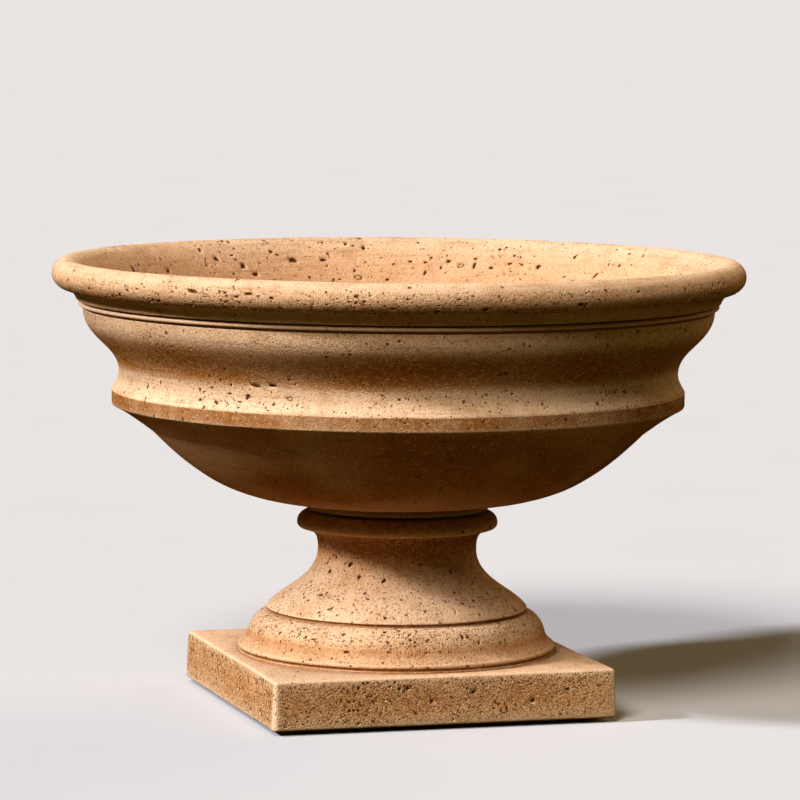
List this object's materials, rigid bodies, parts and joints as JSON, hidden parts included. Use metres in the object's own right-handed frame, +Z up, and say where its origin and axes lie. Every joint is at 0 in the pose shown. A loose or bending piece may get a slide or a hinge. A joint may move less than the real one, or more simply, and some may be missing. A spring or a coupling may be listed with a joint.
{
  "type": "planter",
  "caption": "Round moulded bowl planter in cast stone, drained through a removable grate and sleeve, standing on a separate waisted pedestal with a square plinth.",
  "frame": {"origin": "on the planter's upright axis, on the ground plane that its four pads rest on", "axes": "+Z up along the planter's axis; the plinth's sides run along X and Y, and its front faces -Y"},
  "size_m": [0.787, 0.787, 0.508],
  "materials": {
    "cast_stone": "matte",
    "rubber": "matte",
    "drain_plastic": "matte"
  },
  "bodies": {
    "pedestal": {"pedestal": "cast_stone", "setting_ring": "rubber", "foot_pad_front_left": "rubber", "foot_pad_front_right": "rubber", "foot_pad_back_left": "rubber", "foot_pad_back_right": "rubber"},
    "bowl": {"bowl": "cast_stone", "drain_sleeve": "drain_plastic"},
    "grate": {"drain_grate": "drain_plastic"}
  },
  "joints": [
    {"name": "bowl_lift", "type": "slide", "parent": "pedestal", "child": "bowl", "axis": [0, 0, 1], "range_m": [0, 0.1]},
    {"name": "grate_lift", "type": "slide", "parent": "bowl", "child": "grate", "axis": [0, 0, 1], "range_m": [0, 0.26]}
  ]
}
